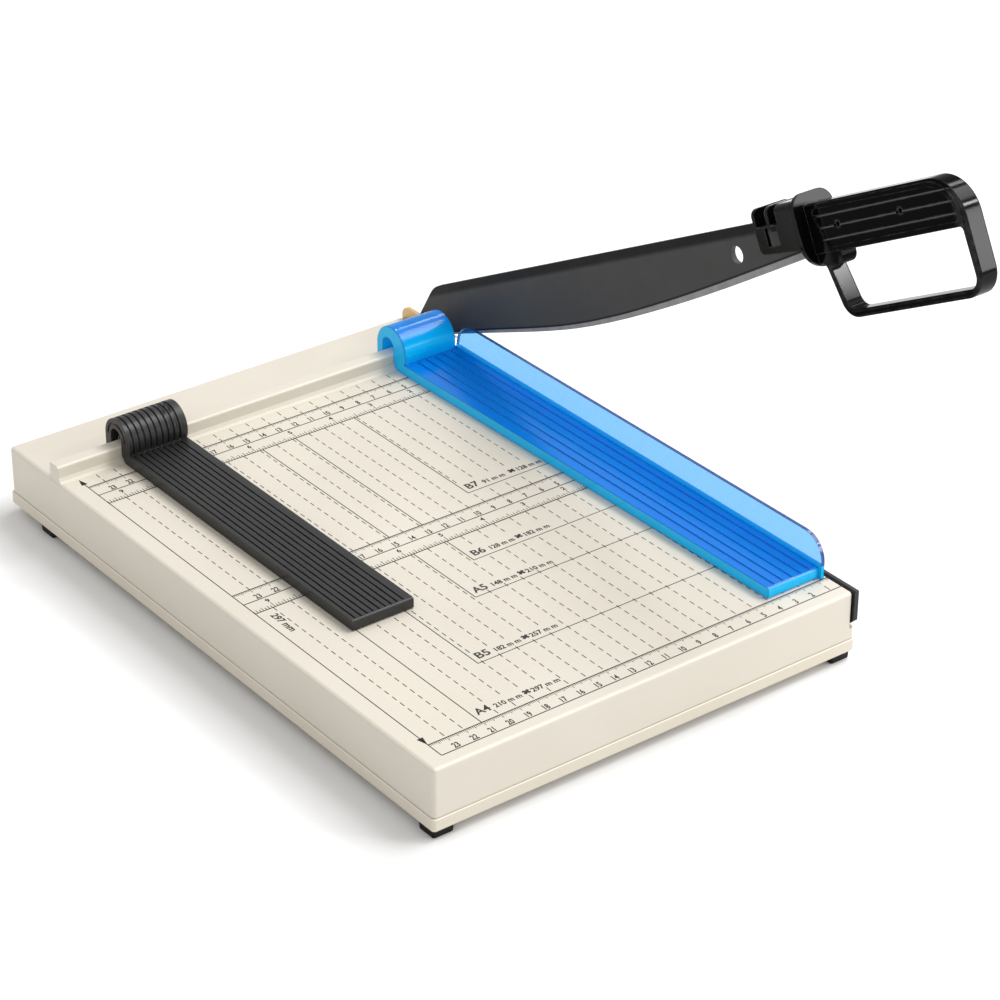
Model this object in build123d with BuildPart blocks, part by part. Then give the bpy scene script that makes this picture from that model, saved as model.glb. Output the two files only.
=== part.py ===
from build123d import *
import math
import os

# Guillotine paper cutter. X runs across the deck, Y from the front to the rear,
# Z up. The datum is the point where the cutting edge of the fixed knife meets
# the line of the printed rulers at deck level.

# Where the datum lies in the frame of the whole object.
datum_x = 115.9
datum_y = 164.1
datum_z = 37.6

# Base.
deck_left = -250.0
deck_right = -2.5
deck_front = -315.0
deck_rear = 52.0
shell_height = 25.9
shell_wall = 2.8
deck_thickness = 3.0
deck_edge_radius = 1.9
corner_radius = 2.0
inner_radius = 1.0
rib_height = 14.0
rib_width = 1.8
boss_diameter = 9.0
tray_top = -26.1
tray_bottom = -32.8
tray_floor = 2.4
tray_lip = 0.8
tray_right = -0.1
skirt_top = -20.2
skirt_right = -0.3
foot_size = 12.0
foot_radius = 1.6
foot_height = 4.8

# Fence that paper is squared against.
fence_face = 3.3
fence_back = 11.4
fence_height = 9.0

# Fixed knife on the right side of the base.
ledger_thickness = 2.5
ledger_front = -316.2
ledger_rear = 12.6
ledger_top = 0.5
ledger_bottom = -19.6
ledger_screw_rows = (-290.0, -223.0, -162.0, -101.0, -40.0)
ledger_screw_level = -11.0

# Bracket plate of the pivot.
bracket_front = 13.0
bracket_rear = 51.2
bracket_top = 7.0
bracket_bottom = -24.0

# Pivot of the blade.
pivot_y = 28.0
pivot_z = -14.0
pivot_diameter = 8.0
running_gap = 0.05

# Blade, drawn along its straight back (s) and across it (d).
blade_angle = 27.4
blade_back_y = 20.4
blade_back_z = 30.2
blade_inner = 0.3
blade_thickness = 3.0
blade_length = 316.0
hang_hole_diameter = 9.0

# Handle.
grip_width = 11.8
flange_width = 24.6
loop_width = 10.6
saddle_width = 24.0

# Sliding hooks of the paper stop and of the paper guard: the opening that
# runs over the fence, then the rounded back of each hook.
hook_y = 8.0
hook_z = 11.7
hook_inner = 5.0
hook_rear_foot = 2.8
slide_gap = 0.3
plate_thickness = 6.0
stop_left = -212.5
stop_width = 34.9
stop_reach = 201.0
stop_back_y = 6.6
stop_back_z = 11.0
stop_back_radius = 11.6
guard_left = -42.6
guard_right = -6.6
guard_taper = 3.2
guard_reach = 295.6
guard_back_y = 5.4
guard_back_z = 10.8
guard_back_radius = 13.0
guard_hook_width = 33.4
shield_thickness = 2.1
shield_outer = -5.5
shield_height = 21.8
shield_rear = -6.0
shield_front = -297.3

os.makedirs("parts", exist_ok=True)


def deck_plane(x=0.0, y=0.0, z=0.0):
    """Sketch plane parallel to the deck, local axes X and Y."""
    return Plane(origin=(datum_x + x, datum_y + y, datum_z + z))


def side_plane(x=0.0):
    """Sketch plane across the cutter, local axes Y and Z, normal +X."""
    origin = (datum_x + x, datum_y, datum_z)
    return Plane(origin=origin, x_dir=(0, 1, 0), z_dir=(1, 0, 0))


def front_plane(y=0.0):
    """Sketch plane facing the user, local axes X and Z, normal -Y."""
    origin = (datum_x, datum_y + y, datum_z)
    return Plane(origin=origin, x_dir=(1, 0, 0), z_dir=(0, -1, 0))


tilt = math.radians(blade_angle)
along_blade = Vector(0, -math.cos(tilt), math.sin(tilt))
across_blade = Vector(0, -math.sin(tilt), -math.cos(tilt))
blade_origin = Vector(datum_x, datum_y + blade_back_y, datum_z + blade_back_z)
blade_middle = blade_inner + blade_thickness / 2


def blade_plane(x=0.0):
    """Sketch plane of the blade, local axes s and d, normal +X."""
    origin = blade_origin + Vector(x, 0, 0)
    return Plane(origin=origin, x_dir=along_blade, z_dir=(1, 0, 0))


def blade_section(s=0.0):
    """Sketch plane square to the blade's back, local axes d and X, normal +s."""
    origin = blade_origin + along_blade * s
    return Plane(origin=origin, x_dir=across_blade, z_dir=along_blade)


pivot_offset = Vector(0, pivot_y - blade_back_y, pivot_z - blade_back_z)
pivot_s = pivot_offset.dot(along_blade)
pivot_d = pivot_offset.dot(across_blade)

# Screw positions under the base.
tray_screw_spots = [
    (x, y)
    for x in (-222.0, -126.0, -30.0)
    for y in (-285.0, -130.0, 22.0)
]
foot_spots = [(x, y) for x in (-243.6, -7.2) for y in (-308.0, 20.0)]
ledger_screw_spots = [(y, ledger_screw_level) for y in ledger_screw_rows]
bracket_screw_spots = [(18.0, -7.5), (44.0, -12.0)]
side_screw_spots = ledger_screw_spots + bracket_screw_spots

deck_mid_x = (deck_left + deck_right) / 2
deck_mid_y = (deck_front + deck_rear) / 2
deck_width = deck_right - deck_left
deck_length = deck_rear - deck_front

# Base shell: deck, side walls and fence in one moulding, ribbed underneath.
with BuildPart() as base_shell:
    with BuildSketch(deck_plane(deck_mid_x, deck_mid_y)):
        RectangleRounded(deck_width, deck_length, corner_radius)
    extrude(amount=-shell_height)
    fillet(base_shell.faces().sort_by(Axis.Z)[-1].edges(), deck_edge_radius)
    # Skirt that reaches out below the fixed knife, flush with its face.
    with BuildSketch(deck_plane((deck_left + skirt_right) / 2, deck_mid_y, skirt_top)):
        RectangleRounded(skirt_right - deck_left, deck_length, corner_radius)
    extrude(amount=-shell_height - skirt_top)
    with BuildSketch(side_plane(deck_right)):
        with Locations((bracket_front - 0.4, bracket_bottom - 0.3)):
            Rectangle(60.0, 20.0, align=(Align.MIN, Align.MIN))
    extrude(amount=shell_wall, mode=Mode.SUBTRACT)
    with BuildSketch(deck_plane(deck_mid_x, deck_mid_y, -deck_thickness)):
        RectangleRounded(
            deck_width - 2 * shell_wall,
            deck_length - 2 * shell_wall,
            inner_radius,
        )
    extrude(amount=-shell_height, mode=Mode.SUBTRACT)
    with BuildSketch(deck_plane(deck_mid_x, deck_mid_y, -deck_thickness)):
        with GridLocations(48.0, 0, 5, 1):
            Rectangle(rib_width, deck_length - shell_wall)
        with GridLocations(0, 61.0, 1, 5):
            Rectangle(deck_width - shell_wall, rib_width)
    extrude(amount=-rib_height)
    with BuildSketch(deck_plane(z=-deck_thickness)):
        with Locations(*tray_screw_spots):
            Circle(boss_diameter / 2)
    extrude(amount=-(shell_height - deck_thickness))
    with BuildSketch(deck_plane(z=-shell_height)):
        with Locations(*tray_screw_spots):
            Circle(2.0)
    extrude(amount=16.0, mode=Mode.SUBTRACT)
    # Fence with a soft foot towards the deck.
    with BuildSketch(side_plane(deck_left + 0.5)):
        with BuildLine():
            Polyline(
                (0.9, -0.5),
                (0.9, 0.0),
                (fence_face - 0.9, 0.75),
                (fence_face, 2.6),
                (fence_face, fence_height),
                (fence_back, fence_height),
                (fence_back, -0.5),
                (0.9, -0.5),
            )
        make_face()
    extrude(amount=deck_width - 0.6)
    crest = base_shell.edges().filter_by(Axis.X).group_by(Axis.Z)[-1]
    fillet(crest, 1.6)
    # Thick pads behind the fixed knife and the pivot.
    with BuildSketch(side_plane(deck_right)):
        with Locations(*side_screw_spots):
            Circle(6.5)
        with Locations((pivot_y, pivot_z)):
            Circle(11.0)
    extrude(amount=-8.0)
    with BuildSketch(side_plane(deck_right)):
        with Locations(*side_screw_spots):
            Circle(2.1)
        with Locations((pivot_y, pivot_z)):
            Circle(pivot_diameter / 2 + 0.1)
    extrude(amount=-20.0, mode=Mode.SUBTRACT)
base_shell.part.label = "base_shell"
export_step(base_shell.part, "parts/base_shell.step")

# Bottom tray: stands a little proud of the shell, stiffened by a rim.
tray_left = deck_left - tray_lip
tray_mid_x = (tray_left + tray_right) / 2
tray_width = tray_right - tray_left
tray_length = deck_length + 2 * tray_lip
tray_wall = shell_wall + tray_lip
with BuildPart() as bottom_tray:
    with BuildSketch(deck_plane(tray_mid_x, deck_mid_y, tray_bottom)):
        RectangleRounded(tray_width, tray_length, corner_radius)
    extrude(amount=tray_top - tray_bottom)
    fillet(bottom_tray.faces().sort_by(Axis.Z)[-1].edges(), 0.6)
    fillet(bottom_tray.faces().sort_by(Axis.Z)[0].edges(), 1.0)
    with BuildSketch(deck_plane(tray_mid_x, deck_mid_y, tray_bottom + tray_floor)):
        RectangleRounded(
            tray_width - 2 * tray_wall,
            tray_length - 2 * tray_wall,
            inner_radius,
        )
    extrude(amount=shell_height, mode=Mode.SUBTRACT)
    with BuildSketch(deck_plane(tray_mid_x, deck_mid_y, tray_bottom + tray_floor)):
        with GridLocations(82.0, 0, 2, 1):
            Rectangle(rib_width, tray_length - tray_wall)
        with GridLocations(0, 90.0, 1, 3):
            Rectangle(tray_width - tray_wall, rib_width)
    extrude(amount=3.0)
    with BuildSketch(deck_plane(z=tray_bottom + tray_floor)):
        with Locations(*tray_screw_spots):
            Circle(boss_diameter / 2)
    extrude(amount=-shell_height - tray_bottom - tray_floor)
    with BuildSketch(deck_plane(z=tray_bottom)):
        with Locations(*tray_screw_spots):
            Circle(4.2)
    extrude(amount=3.6, mode=Mode.SUBTRACT)
    with BuildSketch(deck_plane(z=tray_bottom)):
        with Locations(*tray_screw_spots):
            Circle(2.1)
        with Locations(*foot_spots):
            Circle(2.1)
    extrude(amount=10.0, mode=Mode.SUBTRACT)
bottom_tray.part.label = "bottom_tray"
export_step(bottom_tray.part, "parts/bottom_tray.step")

# Self-tapping screws that close the tray, sunk into its counterbores.
with BuildPart() as tray_screws:
    with BuildSketch(deck_plane(z=tray_bottom + 3.6)):
        with Locations(*tray_screw_spots):
            Circle(3.6)
    extrude(amount=-2.2)
    with BuildSketch(deck_plane(z=tray_bottom + 3.6)):
        with Locations(*tray_screw_spots):
            Circle(1.9)
    extrude(amount=14.0)
    with BuildSketch(deck_plane(z=tray_bottom + 1.4)):
        with Locations(*tray_screw_spots):
            Rectangle(4.4, 1.0)
            Rectangle(1.0, 4.4)
    extrude(amount=1.2, mode=Mode.SUBTRACT)
tray_screws.part.label = "tray_screws"
export_step(tray_screws.part, "parts/tray_screws.step")

# Rubber feet: tapered square pads with a recess for their screws.
with BuildPart() as rubber_feet:
    with BuildSketch(deck_plane(z=tray_bottom)):
        with Locations(*foot_spots):
            RectangleRounded(foot_size, foot_size, foot_radius)
    extrude(amount=-foot_height, taper=4.0)
    fillet(rubber_feet.edges().group_by(Axis.Z)[0], 0.6)
    with BuildSketch(deck_plane(z=tray_bottom - foot_height)):
        with Locations(*foot_spots):
            Circle(4.0)
    extrude(amount=2.6, mode=Mode.SUBTRACT)
    with BuildSketch(deck_plane(z=tray_bottom - foot_height)):
        with Locations(*foot_spots):
            Circle(2.1)
    extrude(amount=foot_height, mode=Mode.SUBTRACT)
rubber_feet.part.label = "rubber_feet"
export_step(rubber_feet.part, "parts/rubber_feet.step")

# Screws that hold the feet to the tray.
with BuildPart() as foot_screws:
    with BuildSketch(deck_plane(z=tray_bottom - foot_height + 2.6)):
        with Locations(*foot_spots):
            Circle(3.5)
    extrude(amount=-2.0)
    with BuildSketch(deck_plane(z=tray_bottom - foot_height + 2.6)):
        with Locations(*foot_spots):
            Circle(1.9)
    extrude(amount=7.8)
    with BuildSketch(deck_plane(z=tray_bottom - foot_height + 0.6)):
        with Locations(*foot_spots):
            Rectangle(4.2, 1.0)
            Rectangle(1.0, 4.2)
    extrude(amount=1.0, mode=Mode.SUBTRACT)
foot_screws.part.label = "foot_screws"
export_step(foot_screws.part, "parts/foot_screws.step")

# Push-on nuts of the foot screws, inside the tray.
with BuildPart() as foot_nuts:
    with BuildSketch(deck_plane(z=tray_bottom + tray_floor)):
        with Locations(*foot_spots):
            RegularPolygon(3.3, 6)
            Circle(1.95, mode=Mode.SUBTRACT)
    extrude(amount=2.8)
foot_nuts.part.label = "foot_nuts"
export_step(foot_nuts.part, "parts/foot_nuts.step")

# Fixed knife: steel strip with a ground top edge.
with BuildPart() as ledger_knife:
    with BuildSketch(side_plane(deck_right)):
        with BuildLine():
            Polyline(
                (ledger_rear, ledger_top),
                (ledger_front, ledger_top),
                (ledger_front, ledger_bottom + 4.0),
                (ledger_front + 4.0, ledger_bottom),
                (ledger_rear, ledger_bottom),
                (ledger_rear, ledger_top),
            )
        make_face()
    extrude(amount=ledger_thickness)
    upper = ledger_knife.edges().filter_by(Axis.Y).group_by(Axis.Z)[-1]
    chamfer(upper.sort_by(Axis.X)[0], 0.5)
    with BuildSketch(side_plane(0.0)):
        with Locations(*ledger_screw_spots):
            Circle(2.1)
    extrude(amount=-ledger_thickness, mode=Mode.SUBTRACT)
    with BuildSketch(side_plane(-2.2)):
        with Locations(*ledger_screw_spots):
            Circle(2.1)
    extrude(amount=2.2, taper=-45.0, mode=Mode.SUBTRACT)
ledger_knife.part.label = "ledger_knife"
export_step(ledger_knife.part, "parts/ledger_knife.step")

# Bracket plate behind the fixed knife that carries the pivot.
with BuildPart() as pivot_bracket:
    with BuildSketch(side_plane(deck_right)):
        with BuildLine():
            FilletPolyline(
                (bracket_front, bracket_bottom),
                (bracket_front, bracket_top),
                (bracket_rear, bracket_top),
                (bracket_rear, bracket_bottom),
                radius=(1.0, 3.0, 5.0, 1.0),
                close=True,
            )
        make_face()
    extrude(amount=ledger_thickness)
    fillet(pivot_bracket.edges().group_by(Axis.X)[0].filter_by(Axis.Y), 0.4)
    with BuildSketch(side_plane(0.0)):
        with Locations(*bracket_screw_spots):
            Circle(2.1)
        with Locations((pivot_y, pivot_z)):
            Circle(pivot_diameter / 2 + 0.1)
    extrude(amount=-ledger_thickness, mode=Mode.SUBTRACT)
    with BuildSketch(side_plane(-2.2)):
        with Locations(*bracket_screw_spots):
            Circle(2.1)
    extrude(amount=2.2, taper=-45.0, mode=Mode.SUBTRACT)
pivot_bracket.part.label = "pivot_bracket"
export_step(pivot_bracket.part, "parts/pivot_bracket.step")


def countersunk_screws(spots):
    """Sunk screws through the side wall, heads flush with the knife face."""
    with BuildPart() as screws:
        with BuildSketch(side_plane(-2.2)):
            with Locations(*spots):
                Circle(1.95)
        extrude(amount=2.1, taper=-45.0)
        with BuildSketch(side_plane(-2.2)):
            with Locations(*spots):
                Circle(1.95)
        extrude(amount=-12.4)
        with BuildSketch(side_plane(-0.1)):
            with Locations(*spots):
                Rectangle(4.6, 0.9)
                Rectangle(0.9, 4.6)
        extrude(amount=-1.2, mode=Mode.SUBTRACT)
    return screws


# Countersunk screws of the fixed knife.
ledger_screws = countersunk_screws(ledger_screw_spots)
ledger_screws.part.label = "ledger_screws"
export_step(ledger_screws.part, "parts/ledger_screws.step")

# Countersunk screws of the pivot bracket.
bracket_screws = countersunk_screws(bracket_screw_spots)
bracket_screws.part.label = "bracket_screws"
export_step(bracket_screws.part, "parts/bracket_screws.step")

# Hexagon nuts of both rows of side screws.
with BuildPart() as side_nuts:
    with BuildSketch(side_plane(deck_right - 8.0)):
        with Locations(*side_screw_spots):
            RegularPolygon(4.0, 6)
            Circle(2.0, mode=Mode.SUBTRACT)
    extrude(amount=-3.2)
side_nuts.part.label = "side_nuts"
export_step(side_nuts.part, "parts/side_nuts.step")

# Pivot bolt: round head inside the base, shoulder through wall and blade.
bolt_head_x = deck_right - 8.0
washer_x = blade_inner + blade_thickness + 0.3
with BuildPart() as pivot_bolt:
    with BuildSketch(side_plane(bolt_head_x)):
        with Locations((pivot_y, pivot_z)):
            RegularPolygon(7.5, 6)
    extrude(amount=-5.0)
    with BuildSketch(side_plane(bolt_head_x)):
        with Locations((pivot_y, pivot_z)):
            Circle(pivot_diameter / 2)
    extrude(amount=washer_x - bolt_head_x + 15.4)
    chamfer(pivot_bolt.edges().group_by(Axis.X)[-1], 0.8)
pivot_bolt.part.label = "pivot_bolt"
export_step(pivot_bolt.part, "parts/pivot_bolt.step")

# Nylon washer that the blade turns against.
with BuildPart() as blade_washer:
    with BuildSketch(side_plane(washer_x)):
        with Locations((pivot_y, pivot_z)):
            Circle(9.5)
            Circle(pivot_diameter / 2 + 0.1, mode=Mode.SUBTRACT)
    extrude(amount=1.2)
blade_washer.part.label = "blade_washer"
export_step(blade_washer.part, "parts/blade_washer.step")

# Coil spring that keeps the blade pressed towards the fixed knife.
spring_length = 5.6
spring_wire = 1.4
with BuildPart() as pivot_spring:
    spring_base = Vector(
        datum_x + washer_x + 1.2 + spring_wire / 2 + 0.05,
        datum_y + pivot_y,
        datum_z + pivot_z,
    )
    with BuildLine() as coil:
        Helix(
            pitch=2.0,
            height=spring_length - spring_wire - 0.1,
            radius=6.2,
            center=spring_base,
            direction=(1, 0, 0),
        )
    with BuildSketch(Plane(origin=coil.line @ 0, z_dir=coil.line % 0)):
        Circle(spring_wire / 2)
    sweep(path=coil.line, is_frenet=True)
pivot_spring.part.label = "pivot_spring"
export_step(pivot_spring.part, "parts/pivot_spring.step")

# Steel cup washer on the outer end of the spring.
cup_x = washer_x + 1.2 + spring_length
with BuildPart() as spring_cup:
    with BuildSketch(side_plane(cup_x)):
        with Locations((pivot_y, pivot_z)):
            Circle(9.0)
            Circle(pivot_diameter / 2 + 0.1, mode=Mode.SUBTRACT)
    extrude(amount=1.0)
    with BuildSketch(side_plane(cup_x)):
        with Locations((pivot_y, pivot_z)):
            Circle(9.0)
            Circle(7.9, mode=Mode.SUBTRACT)
    extrude(amount=-2.0)
spring_cup.part.label = "spring_cup"
export_step(spring_cup.part, "parts/spring_cup.step")

# Self-locking nut on the end of the pivot bolt.
with BuildPart() as lock_nut:
    with BuildSketch(side_plane(cup_x + 1.0)):
        with Locations((pivot_y, pivot_z)):
            RegularPolygon(7.5, 6)
    extrude(amount=4.6)
    with BuildSketch(side_plane(cup_x + 5.6)):
        with Locations((pivot_y, pivot_z)):
            Circle(5.9)
    extrude(amount=1.6)
    fillet(lock_nut.edges().group_by(Axis.X)[-1], 0.7)
    with BuildSketch(side_plane(cup_x + 1.0)):
        with Locations((pivot_y, pivot_z)):
            Circle(pivot_diameter / 2 + 0.05)
    extrude(amount=8.0, mode=Mode.SUBTRACT)
lock_nut.part.label = "lock_nut"
export_step(lock_nut.part, "parts/lock_nut.step")

# Blade: steel plate with a straight back, a bellied cutting edge, a heel that
# turns on the pivot and a narrow tang for the handle.
edge_points = [
    (-6.0, 27.0),
    (38.4, 30.3),
    (80.0, 33.6),
    (112.5, 35.3),
    (150.0, 35.1),
    (190.0, 33.0),
    (231.4, 29.7),
    (279.3, 24.6),
    (314.0, 20.6),
]
with BuildPart() as blade:
    with BuildSketch(blade_plane(blade_inner)):
        with BuildLine():
            belly = Spline(*edge_points)
            FilletPolyline(
                belly @ 1,
                (blade_length + 6.0, 14.0),
                (400.0, 12.0),
                (400.0, 2.0),
                (blade_length + 6.0, 0.0),
                (-5.4, 0.0),
                (-35.0, 18.3),
                radius=(0.0, 2.0, 2.0, 0.0, 18.0),
            )
            heel = ThreePointArc(
                (-35.0, 18.3),
                (pivot_s - 13.0, pivot_d - 2.0),
                (pivot_s - 6.0, pivot_d + 11.6),
            )
            tail = ThreePointArc(
                heel @ 1,
                (pivot_s + 3.0, pivot_d + 12.0),
                (pivot_s + 11.5, pivot_d + 5.0),
            )
            Polyline(tail @ 1, (-12.0, 30.0), belly @ 0)
        make_face()
    extrude(amount=blade_thickness)
    # Ground bevel on the outer side of the cutting edge.
    cutting_edge = blade.edges().filter_by(GeomType.BSPLINE).sort_by(Axis.X)[-1]
    chamfer(cutting_edge, 5.0, 2.2, reference=blade.faces().sort_by(Axis.X)[-1])
    with BuildSketch(blade_plane(blade_inner)):
        with Locations((pivot_s, pivot_d)):
            Circle(pivot_diameter / 2 + running_gap)
        with Locations((263.0, 13.2)):
            Circle(hang_hole_diameter / 2)
        with Locations((346.0, 7.0), (390.0, 7.0)):
            Circle(2.3)
    extrude(amount=blade_thickness, mode=Mode.SUBTRACT)
blade.part.label = "blade"
export_step(blade.part, "parts/blade.step")

# Handle: closed finger loop whose upper side is the grip, oval flange in front
# of the fingers, slot for the tang.
grip_left = blade_middle - grip_width / 2
loop_left = blade_middle - loop_width / 2
with BuildPart() as blade_handle:
    with BuildSketch(blade_plane(loop_left)):
        with BuildLine():
            FilletPolyline(
                (323.5, -4.1),
                (431.0, -5.0),
                (430.8, 50.1),
                (335.6, 51.2),
                (329.9, 24.5),
                (323.5, 24.5),
                radius=(0.0, 19.0, 12.0, 9.5, 3.0, 0.0),
                close=True,
            )
        make_face()
        with BuildLine():
            FilletPolyline(
                (342.0, 19.6),
                (426.6, 18.6),
                (427.0, 46.2),
                (337.8, 47.3),
                (332.6, 26.0),
                (342.0, 26.0),
                radius=(0.0, 2.0, 6.0, 6.0, 0.0, 4.6),
                close=True,
            )
        make_face(mode=Mode.SUBTRACT)
    extrude(amount=loop_width)
    fillet(blade_handle.edges().filter_by(Axis.X, reverse=True), 1.0)
    with BuildSketch(blade_plane(grip_left)):
        with BuildLine():
            FilletPolyline(
                (323.5, -3.6),
                (430.2, -3.6),
                (428.9, 18.2),
                (323.5, 19.2),
                radius=(0.0, 18.0, 2.0, 0.0),
                close=True,
            )
        make_face()
    extrude(amount=grip_width)
    # Sunk panels with three long ribs on both sides of the grip.
    for face_x in (grip_left, grip_left + grip_width):
        side = 1 if face_x == grip_left else -1
        with BuildSketch(blade_plane(face_x)):
            with BuildLine():
                FilletPolyline(
                    (330.0, -1.4),
                    (427.4, -1.4),
                    (426.4, 15.8),
                    (336.5, 17.0),
                    radius=(2.0, 16.0, 2.0, 2.0),
                    close=True,
                )
            make_face()
            for rib_d in (1.6, 7.2, 12.8):
                with Locations((378.0, rib_d)):
                    Rectangle(110.0, 1.1, rotation=-0.7, mode=Mode.SUBTRACT)
        extrude(amount=0.8 * side, mode=Mode.SUBTRACT)
    # Flange.
    with BuildSketch(blade_section(323.4)):
        with BuildLine():
            FilletPolyline(
                (-9.8, blade_middle - flange_width / 2),
                (25.8, blade_middle - flange_width / 2),
                (25.8, blade_middle + flange_width / 2),
                (-9.8, blade_middle + flange_width / 2),
                radius=(8.0, 12.2, 12.2, 8.0),
                close=True,
            )
        make_face()
    extrude(amount=3.0)
    rim = blade_handle.faces().sort_by(Axis(blade_origin, along_blade))[0]
    fillet(rim.edges(), 0.9)
    # Slot for the tang.
    with BuildSketch(blade_plane(blade_inner)):
        with BuildLine():
            Polyline(
                (322.0, 21.0),
                (324.0, 14.0),
                (400.2, 12.1),
                (400.2, 1.9),
                (322.0, -0.1),
                (300.0, -0.1),
                (300.0, 22.5),
                (314.0, 21.2),
                (322.0, 21.0),
            )
        make_face()
    extrude(amount=blade_thickness, mode=Mode.SUBTRACT)
    with BuildSketch(blade_plane(grip_left - 1.0)):
        with Locations((346.0, 7.2), (390.0, 6.7)):
            Circle(2.1)
    extrude(amount=grip_width + 2.0, mode=Mode.SUBTRACT)
blade_handle.part.label = "blade_handle"
export_step(blade_handle.part, "parts/blade_handle.step")

# Tubular rivets through grip and tang, flush with the sunk panels.
with BuildPart() as handle_rivets:
    with BuildSketch(blade_plane(grip_left + 0.9)):
        with Locations((346.0, 7.2), (390.0, 6.7)):
            Circle(2.0)
            Circle(1.2, mode=Mode.SUBTRACT)
    extrude(amount=grip_width - 1.8)
handle_rivets.part.label = "handle_rivets"
export_step(handle_rivets.part, "parts/handle_rivets.step")

# Saddle in front of the flange: two side cheeks with a window, joined over the
# back of the blade by two fins and a hood.
saddle_rear = 294.8
saddle_front = 323.3
hood_rear = 312.2
saddle_top = -7.4
cheek_top = 1.6
saddle_low = blade_middle - saddle_width / 2
saddle_high = blade_middle + saddle_width / 2
with BuildPart() as blade_saddle:
    with BuildSketch(blade_section(saddle_front)):
        with BuildLine():
            FilletPolyline(
                (saddle_top, saddle_low),
                (17.0, saddle_low),
                (17.0, saddle_high),
                (saddle_top, saddle_high),
                radius=(4.0, 0.0, 0.0, 4.0),
                close=True,
            )
        make_face()
    extrude(amount=saddle_rear - saddle_front)
    # Gaps between the fins, hollow between the cheeks, sloping lower rim.
    with BuildSketch(blade_plane(saddle_low)):
        with Locations((300.6, cheek_top)):
            Rectangle(8.2, 20.0, align=(Align.CENTER, Align.MAX))
        with Locations((309.4, cheek_top)):
            Rectangle(5.6, 20.0, align=(Align.CENTER, Align.MAX))
        with BuildLine():
            FilletPolyline(
                (saddle_rear, 0.0),
                (saddle_rear, 14.4),
                (330.0, 15.8),
                (330.0, 30.0),
                (280.0, 30.0),
                (280.0, 0.0),
                radius=(0.0, 3.0, 0.0, 0.0, 0.0, 0.0),
                close=True,
            )
        make_face()
    extrude(amount=saddle_width, mode=Mode.SUBTRACT)
    with BuildSketch(blade_plane(saddle_low + 2.0)):
        with BuildLine():
            Polyline(
                (290.0, cheek_top),
                (hood_rear, cheek_top),
                (hood_rear, saddle_top + 2.0),
                (320.5, saddle_top + 2.0),
                (320.5, 20.0),
                (290.0, 20.0),
                (290.0, cheek_top),
            )
        make_face()
    extrude(amount=saddle_width - 4.0, mode=Mode.SUBTRACT)
    with BuildSketch(blade_plane(saddle_low)):
        with Locations((306.3, 6.7)):
            Rectangle(9.0, 9.0)
    extrude(amount=saddle_width, mode=Mode.SUBTRACT)
    # Spine that clips over the back of the blade.
    with BuildSketch(blade_plane(blade_middle - 2.8)):
        with Locations(((saddle_rear + saddle_front) / 2, 1.4)):
            Rectangle(saddle_front - saddle_rear, 8.0)
    extrude(amount=5.6)
    with BuildSketch(blade_plane(blade_inner - 0.05)):
        with Locations((305.0, -0.1)):
            Rectangle(60.0, 40.0, align=(Align.CENTER, Align.MIN))
    extrude(amount=blade_thickness + 0.1, mode=Mode.SUBTRACT)
blade_saddle.part.label = "blade_saddle"
export_step(blade_saddle.part, "parts/blade_saddle.step")


def hook_profile(reach, back_y, back_z, radius, nose):
    """Closed outline of a hook over the fence with its long front plate."""
    drop = back_z - plate_thickness
    meeting_y = back_y - math.sqrt(radius**2 - drop**2)
    with BuildLine() as outline:
        Polyline(
            (hook_y + hook_inner, hook_z),
            (hook_y + hook_inner, hook_rear_foot),
            (back_y + radius, hook_rear_foot),
            (back_y + radius, back_z),
        )
        ThreePointArc(
            (back_y + radius, back_z),
            (back_y, back_z + radius),
            (meeting_y, plate_thickness),
        )
        FilletPolyline(
            (meeting_y, plate_thickness),
            (-reach, plate_thickness),
            (-reach, slide_gap),
            (-0.4, slide_gap),
            (hook_y - hook_inner, 3.6),
            (hook_y - hook_inner, hook_z),
            radius=(nose, 0.6, 0.0, 0.0),
        )
        ThreePointArc(
            (hook_y - hook_inner, hook_z),
            (hook_y, hook_z + hook_inner),
            (hook_y + hook_inner, hook_z),
        )
    return outline.line


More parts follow.
